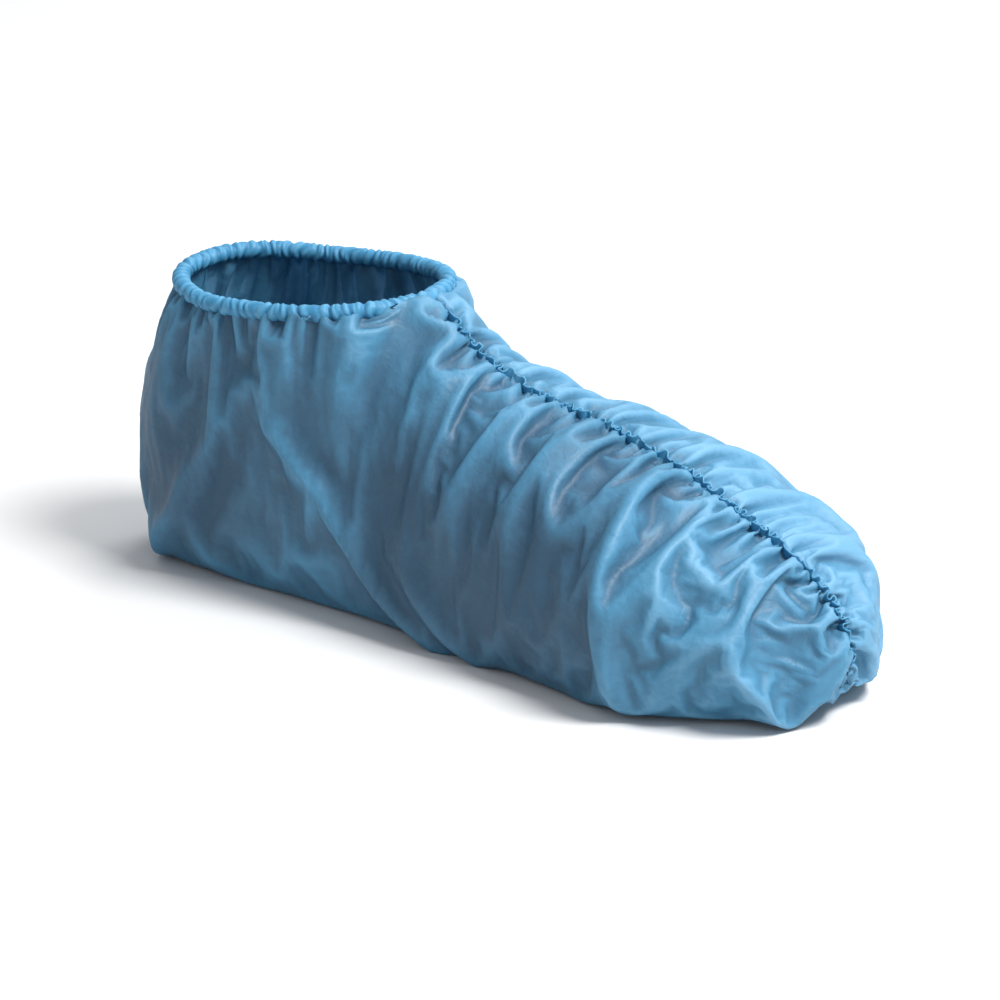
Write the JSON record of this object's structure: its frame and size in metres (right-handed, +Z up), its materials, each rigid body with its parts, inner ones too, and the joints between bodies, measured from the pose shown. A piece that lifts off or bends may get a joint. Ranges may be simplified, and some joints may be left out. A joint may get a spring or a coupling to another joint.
{
  "type": "shoe cover",
  "caption": "Thin plastic film cover that slips over a whole shoe, gathered along an elastic seam from instep to toe and round an elastic ankle hem.",
  "frame": {"origin": "on the flat of the sole, halfway between the back of the heel and the tip of the toe, on the floor", "axes": "+X towards the toe, +Y towards the wearer's left, +Z up"},
  "size_m": [0.3209, 0.126, 0.1199],
  "materials": {
    "film": "soft satin polyethylene film, light blue, slightly translucent",
    "gathered_film": "the same film gathered in tight puckers, deeper blue"
  },
  "bodies": {
    "root": {"film_heel": "film", "film_instep": "film", "film_toe": "film", "toe_seam": "gathered_film", "ankle_hem": "gathered_film", "heel_seam": "gathered_film"}
  },
  "joints": []
}
